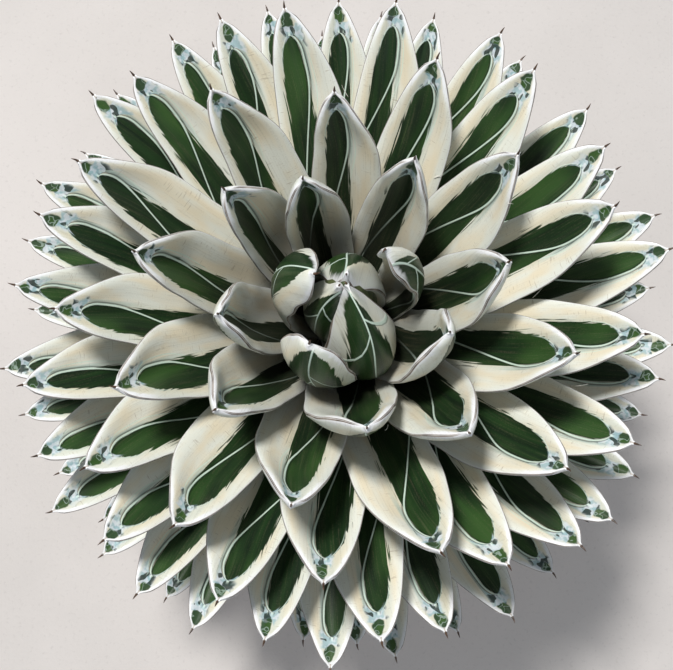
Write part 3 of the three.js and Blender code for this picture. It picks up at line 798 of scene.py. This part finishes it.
def clay_paint():
    p = Paint("pot_clay", 0.75)
    where = p.places()
    split = p.tree.nodes.new("ShaderNodeSeparateXYZ")
    feed(p.tree, split.inputs[0], where)
    height = Number(p.tree, split.outputs[2])
    broad = p.noise(where, 9.0, 4.0, 0.6)
    speck = p.noise(where, 420.0, 3.0, 0.6)
    colour = p.mix(broad.ease(0.3, 0.7), (0.40, 0.155, 0.075), (0.52, 0.235, 0.125))
    colour = p.mix(speck.ease(0.60, 0.72) * 0.5, colour, (0.24, 0.09, 0.05))
    stain = p.noise(where, 22.0, 5.0, 0.65)
    at_foot, at_mouth = 1 - height.ease(0.008, 0.055), height.ease(0.135, 0.185)
    bloom = at_foot.most(at_mouth * 0.8) * stain.ease(0.46, 0.66)
    colour = p.mix(bloom * 0.55, colour, (0.66, 0.56, 0.47))
    rings = (height * 2600 + broad * 9).wave()
    return p.finish(colour, rings * 0.18 + speck * 0.5 + stain * 0.3, 0.35, 0.70 + stain * 0.2)


def floor_paint():
    p = Paint("pale_floor", 0.75)
    where = p.places()
    cloud = p.noise(where, 2.5, 5.0, 0.6)
    speck = p.noise(where, 260.0, 3.0, 0.6)
    colour = p.mix(cloud.ease(0.3, 0.7), (0.66, 0.625, 0.60), (0.74, 0.70, 0.675))
    colour = p.mix(speck.ease(0.55, 0.75) * 0.25, colour, (0.45, 0.42, 0.40))
    return p.finish(colour, speck + cloud, 0.25)


LEAF = leaf_paint()
HORN = spine_paint()

# ---------------------------------------------------------------- the leaves and the bud
leaves = [leaf_spec(age) for age in range(LEAF_COUNT)]
for whorl in range(WHORLS):
    skin = Skin()
    for leaf in leaves[whorl * LEAVES_PER_WHORL:(whorl + 1) * LEAVES_PER_WHORL]:
        add_leaf(skin, leaf)
    node = f"leaf_whorl_{whorl + 1}"
    piece = skin.build(f"leaves_{whorl + 1}", [LEAF, HORN])
    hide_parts(node)
    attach(piece, "root")

skin = Skin()
for bud in BUD_LEAVES:
    add_leaf(skin, bud_spec(*bud), rooted=False)
CORE = [  # radius and height
    (0.1, 1.2), (4, 1.2), (8, 8), (12, 16), (16, 26), (18, 34), (19.3, 43), (19, 52), (17.5, 63),
    (15, 74), (11.5, 85), (8, 93), (4, 100), (0.3, 106),
]
CORE_SIDES = 32
skin.add(turned(CORE, CORE_SIDES)[:, ::-1], tube_faces(len(CORE), CORE_SIDES), 2)
piece = skin.build("bud", [LEAF, HORN, bud_core_paint()])
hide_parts("heart")
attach(piece, "root")

# ---------------------------------------------------------------- the stem, soil and pot
POT_HEIGHT = 180
DRAIN_COUNT = 5
DRAIN_RADIUS = 6
DRAIN_RING_RADIUS = 46
SOIL_TOP = 168
STEM_FOOT_RADIUS = 20
STEM_BURIED = 26
STEM_SIDES = 64
FIRST_STUB_AGE, LAST_STUB_AGE = 109, 124
STUB_ROWS, STUB_SIDES = 7, 20
STUB_SUNK, STUB_LENGTH = 4.5, 15.5
STUB_HALF_WIDTH, STUB_HALF_HEIGHT = 6.0, 2.5
STUB_DROOP = 0.2


def bark_ridges(angle, height):
    """How far the bark stands out or in."""
    return 0.35 * np.sin(9 * angle + height) + 0.25 * np.sin(17 * angle - 1.7 * height)


def add_stub(skin, age):
    """The cut foot of a shed leaf, a flat rounded bar that droops a little."""
    t = np.linspace(0, 1, STUB_ROWS)[:, None]
    angle = np.linspace(0, 2 * pi, STUB_SIDES, endpoint=False)[None, :]
    c, s = np.cos(angle), np.sin(angle)
    half = STUB_HALF_WIDTH * (1 - 0.35 * t**2) + 0.25 * np.sin(7 * angle + age)
    side = half * np.sign(c) * np.abs(c) ** 0.7
    above = STUB_HALF_HEIGHT * (1 - 0.3 * t) * np.sign(s) * np.abs(s) ** 0.8
    stub = SimpleNamespace(azimuth=np.radians(FIRST_AZIMUTH - GOLDEN_ANGLE * age))
    out = STEM_FOOT_RADIUS - STUB_SUNK + STUB_LENGTH * t + 0.4 * np.sin(5 * angle + age) * t
    up = -PITCH * age - STUB_DROOP * (out - STEM_FOOT_RADIUS)
    points = place(stub, out, up, -STUB_DROOP, side, above)
    skin.add(points[:, ::-1], tube_faces(STUB_ROWS, STUB_SIDES), 0)


low = SOIL_TOP - PLANT_HEIGHT
skin = Skin()
levels = [(0.5, low - STEM_BURIED), (16, low - STEM_BURIED), (STEM_FOOT_RADIUS, low - 16)]
for height in np.linspace(low - 4, -PITCH * LEAF_COUNT, 16):
    levels.append((STEM_FOOT_RADIUS, height))
for age in np.arange(LEAF_COUNT - 2, -1, -2.0):
    levels.append((stem_radius(age) - 1.2, -PITCH * age))
levels.append((0.3, 0.4))
bark = turned(levels, STEM_SIDES, bark_ridges)
skin.add(bark[:, ::-1], tube_faces(len(levels), STEM_SIDES), 0)
for age in range(FIRST_STUB_AGE, LAST_STUB_AGE + 1):
    add_stub(skin, age)
piece = skin.build("trunk", [stem_paint()])
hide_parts("stem")
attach(piece, "root")

POT_FOOT_RADIUS = 80
POT_MOUTH_RADIUS = 112
POT_BAND_DEPTH = 4  # how far the mouth's band stands out
POT_BAND_HEIGHT = 30
POT_WALL = 7
POT_FLOOR = 10


def pot_radius(height):
    """Outer radius of the pot's wall, without the band at its mouth."""
    return POT_FOOT_RADIUS + (POT_MOUTH_RADIUS - POT_BAND_DEPTH - POT_FOOT_RADIUS) * height / POT_HEIGHT


def soil_height(x, y):
    """The soil's surface, with low uneven waves."""
    r, angle = np.hypot(x, y), np.arctan2(y, x)
    return (SOIL_TOP - 1.0 + 1.3 * np.sin(7 * angle + 0.11 * r) * np.cos(0.16 * r + 3 * angle)
            + 0.5 * np.sin(0.9 * x + 2) * np.cos(0.8 * y))


SOIL_SIDES = 120
SOIL_RINGS = 34
SOIL_OUTER = pot_radius(SOIL_TOP - 4) - POT_WALL - 1
SOIL_EDGE = pot_radius(SOIL_TOP - 8) - POT_WALL - 0.3
EDGE_DROP = 3  # the soil's two outermost rings lie lower, against the pot
STEM_GAP = 0.4
STONES = 900
STONE_RING = (24, 94)  # radii between which the stones lie
STONE_SIZE = (0.9, 2.6)
STONE_TILT = 0.6
STONE_SIDES = 7
STONE = [(0.02, -1), (0.62, -0.78), (0.98, -0.2), (0.92, 0.38), (0.5, 0.86), (0.02, 1)]


def add_stone(skin, ball):
    """One rounded stone somewhere on the soil, of its own size, turn and roughness."""
    radius = np.sqrt(rng.uniform(STONE_RING[0] ** 2, STONE_RING[1] ** 2))
    angle = rng.uniform(0, 2 * pi)
    x, y = radius * np.cos(angle), radius * np.sin(angle)
    size = rng.uniform(*STONE_SIZE) * np.array([1, rng.uniform(0.6, 1), rng.uniform(0.45, 0.8)])
    turn = Matrix.Rotation(rng.uniform(0, 2 * pi), 3, "Z")
    tilt = Matrix.Rotation(rng.uniform(-STONE_TILT, STONE_TILT), 3, "X")
    shape = ball * size * rng.uniform(0.82, 1.12, ball.shape[:2] + (1,))
    points = shape[:, ::-1] @ np.array(turn @ tilt).T + [x, y, soil_height(x, y) + 0.2 * size[2]]
    skin.add(points, tube_faces(len(STONE), STONE_SIDES), 1)


def soil_ring(radius, height):
    return turned([(radius, height)], SOIL_SIDES)[0]


skin = Skin()
rings = [
    soil_ring(0.5, POT_FLOOR + 0.3),
    soil_ring(79.5 - POT_WALL, POT_FLOOR + 0.3),
    soil_ring(80.2 - POT_WALL, POT_FLOOR + 2.3),
]
inward = np.linspace(SOIL_OUTER, STEM_FOOT_RADIUS + STEM_GAP + 0.2, SOIL_RINGS)
for i, radius in enumerate([SOIL_EDGE, *inward]):
    ring = soil_ring(radius, 0)
    ring[:, 2] = soil_height(ring[:, 0], ring[:, 1]) - (EDGE_DROP if i < 2 else 0)
    rings.append(ring)
rings.append(soil_ring(STEM_FOOT_RADIUS + STEM_GAP, SOIL_TOP - 4))
rings.append(soil_ring(STEM_FOOT_RADIUS + STEM_GAP, SOIL_TOP - 16))
rings.append(soil_ring(0.5, SOIL_TOP - STEM_BURIED - 0.5))
skin.add(np.array(rings)[:, ::-1], tube_faces(len(rings), SOIL_SIDES), 0)
ball = turned(STONE, STONE_SIDES)
for _ in range(STONES):
    add_stone(skin, ball)
piece = skin.build("potting_mix", [soil_paint(), stone_paint()], 0)
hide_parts("soil")
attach(piece, "root")

ARC_STEPS = 6


def arc(centre, radius, start, end):
    angle = np.radians(np.linspace(start, end, ARC_STEPS))
    return [(centre[0] + radius * np.cos(a), centre[1] + radius * np.sin(a)) for a in angle]


POT_SIDES = 160
RIM_ROUNDING = 2.0
BAND_FOOT = 3.9  # how far the band stands out at its lower edge


def pot_profile():
    """From the middle of the foot, out and up the wall and the band, over the rim, and down inside."""
    band = POT_HEIGHT - POT_BAND_HEIGHT
    at_band = pot_radius(band)
    inner = pot_radius(POT_HEIGHT) - POT_WALL
    outer = POT_MOUTH_RADIUS - 0.1
    rim = POT_HEIGHT - RIM_ROUNDING
    foot = [(0.5, 0.0), (76, 0.0)] + arc((77.5, 2.6), 2.5, -90, 0)
    wall = [(pot_radius(h), h) for h in np.linspace(8, band - 2, 24)]
    step = [(at_band + 0.6, band - 0.2)] + arc((at_band + 1.9, band + 2.2), RIM_ROUNDING, -70, 0)
    band_wall = [
        (at_band + BAND_FOOT + (outer - at_band - BAND_FOOT) * t, band + 3 + 24.5 * t)
        for t in np.linspace(0.1, 1, 8)
    ]
    mouth = arc((outer - RIM_ROUNDING, rim), RIM_ROUNDING, 0, 90)
    mouth += arc((inner + RIM_ROUNDING, rim), RIM_ROUNDING, 90, 180)
    inside = [(pot_radius(h) - POT_WALL, h) for h in np.linspace(POT_HEIGHT - 6, POT_FLOOR + 4, 16)]
    return foot + wall + step + band_wall + mouth + inside + [(72, POT_FLOOR), (0.5, POT_FLOOR)]


def cut(piece, cutter):
    """Takes the cutter's solid out of the piece's mesh."""
    modifier = piece.modifiers.new("cut", "BOOLEAN")
    modifier.operation = "DIFFERENCE"
    modifier.solver = "EXACT"
    modifier.object = cutter
    bpy.context.view_layer.update()
    whole = piece.evaluated_get(bpy.context.evaluated_depsgraph_get())
    mesh = bpy.data.meshes.new_from_object(whole)
    piece.modifiers.clear()
    piece.data = mesh
    bpy.data.objects.remove(cutter)


def unevenness(angle, height):
    """How far the clay strays from round."""
    return 0.12 * np.sin(3 * angle + 0.02 * height)


skin = Skin()
profile = pot_profile()
skin.add(turned(profile, POT_SIDES, unevenness)[:, ::-1], tube_faces(len(profile), POT_SIDES), 0)
CLAY = clay_paint()
piece = skin.build("clay_pot", [CLAY], 0)
DRAIN_SIDES = 28
DRAIN = [(DRAIN_RADIUS + 0.5, -1), (DRAIN_RADIUS, 0.7), (DRAIN_RADIUS, POT_FLOOR + 2)]
skin = Skin()
for k in range(DRAIN_COUNT):
    hole = turned(DRAIN, DRAIN_SIDES)
    hole[..., 0] += DRAIN_RING_RADIUS
    around = np.array(Matrix.Rotation(2 * pi * k / DRAIN_COUNT, 3, "Z"))
    skin.add((hole @ around.T)[:, ::-1], tube_faces(len(DRAIN), DRAIN_SIDES), 0)
cut(piece, skin.build("drain_cutter", [CLAY], 0))
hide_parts("pot")
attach(piece, "root")

# ---------------------------------------------------------------- loose threads on a few margins
THREADS = 26
THREAD_RADIUS = 0.26
THREAD_LENGTH = (7, 15)
THREAD_STEPS, THREAD_SIDES = 14, 6
THREADED_AGES = (9, 90)
THREADED_SHARES = (0.55, 0.86)


def add_thread(skin):
    """A thin fibre that curls away from a margin and thins towards its end."""
    leaf = leaves[int(rng.integers(*THREADED_AGES))]
    share, sign = rng.uniform(*THREADED_SHARES), rng.choice([-1, 1])
    out, up, slope = (float(v) for v in midline(leaf, np.float64(share)))
    half, _, cup = (float(v) for v in blade_size(leaf, np.float64(share)))
    t = np.linspace(0, 1, THREAD_STEPS)[:, None]
    length = rng.uniform(*THREAD_LENGTH)
    curl = rng.uniform(0.6, 2.0)
    along = length * t * np.cos(0.5 * curl * t)
    away = sign * (half * 0.985 + 0.42 * length * np.sin(curl * t))
    rise = cup * 0.85 + rng.uniform(0.1, 0.5) * length * t**1.5
    angle = np.linspace(0, 2 * pi, THREAD_SIDES, endpoint=False)[None, :]
    radius = THREAD_RADIUS * (1 - 0.7 * t)
    centre_out = out + along * np.cos(slope) + 0 * angle
    centre_up = up + along * np.sin(slope) + 0 * angle
    side, above = away + radius * np.cos(angle), rise + radius * np.sin(angle)
    points = place(leaf, centre_out, centre_up, slope, side, above)
    skin.add(points, tube_faces(THREAD_STEPS, THREAD_SIDES), 0)


skin = Skin()
for _ in range(THREADS):
    add_thread(skin)
piece = skin.build("leaf_threads", [thread_paint()])
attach(piece, "root")

# ---------------------------------------------------------------- floor, light and camera
bpy.ops.mesh.primitive_plane_add(size=8, location=(0, 0, 0))
floor = bpy.context.object
floor.name = "floor"
floor.data.materials.append(floor_paint())


def lamp(name, place_m, size_m, watts, colour):
    """A round lamp that shines on the rosette."""
    data = bpy.data.lights.new(name, "AREA")
    data.shape = "DISK"
    data.size = size_m
    data.energy = watts
    data.color = colour
    light = bpy.data.objects.new(name, data)
    light.location = place_m
    light.rotation_euler = (ROSETTE_MIDDLE - Vector(place_m)).to_track_quat("-Z", "Y").to_euler()
    bpy.context.scene.collection.objects.link(light)


ROSETTE_MIDDLE = Vector((0, 0, 0.36))
lamp("key", place_m=(-0.35, 0.45, 1.9), size_m=0.30, watts=32, colour=(1.0, 0.98, 0.95))
lamp("fill", place_m=(0.9, -1.2, 1.5), size_m=1.6, watts=5, colour=(0.93, 0.97, 1.0))
world = bpy.data.worlds.new("sky")
world.use_nodes = True
background = world.node_tree.nodes["Background"]
background.inputs["Color"].default_value = (0.86, 0.92, 1.0, 1)
background.inputs["Strength"].default_value = 0.29
bpy.context.scene.world = world
bpy.context.scene.view_settings.view_transform = "Standard"

PICTURE_WIDTH = 673  # pixels
FOCAL_LENGTH = 945  # pixels
SENSOR_WIDTH = 36  # millimetres
camera_data = bpy.data.cameras.new("camera")
camera_data.sensor_width = SENSOR_WIDTH
camera_data.lens = FOCAL_LENGTH / PICTURE_WIDTH * SENSOR_WIDTH
camera = bpy.data.objects.new("camera", camera_data)
camera.location = (-0.0041, -0.1090, 0.8994)
camera.rotation_euler = (np.radians(10), 0, 0)
bpy.context.scene.collection.objects.link(camera)
bpy.context.scene.camera = camera
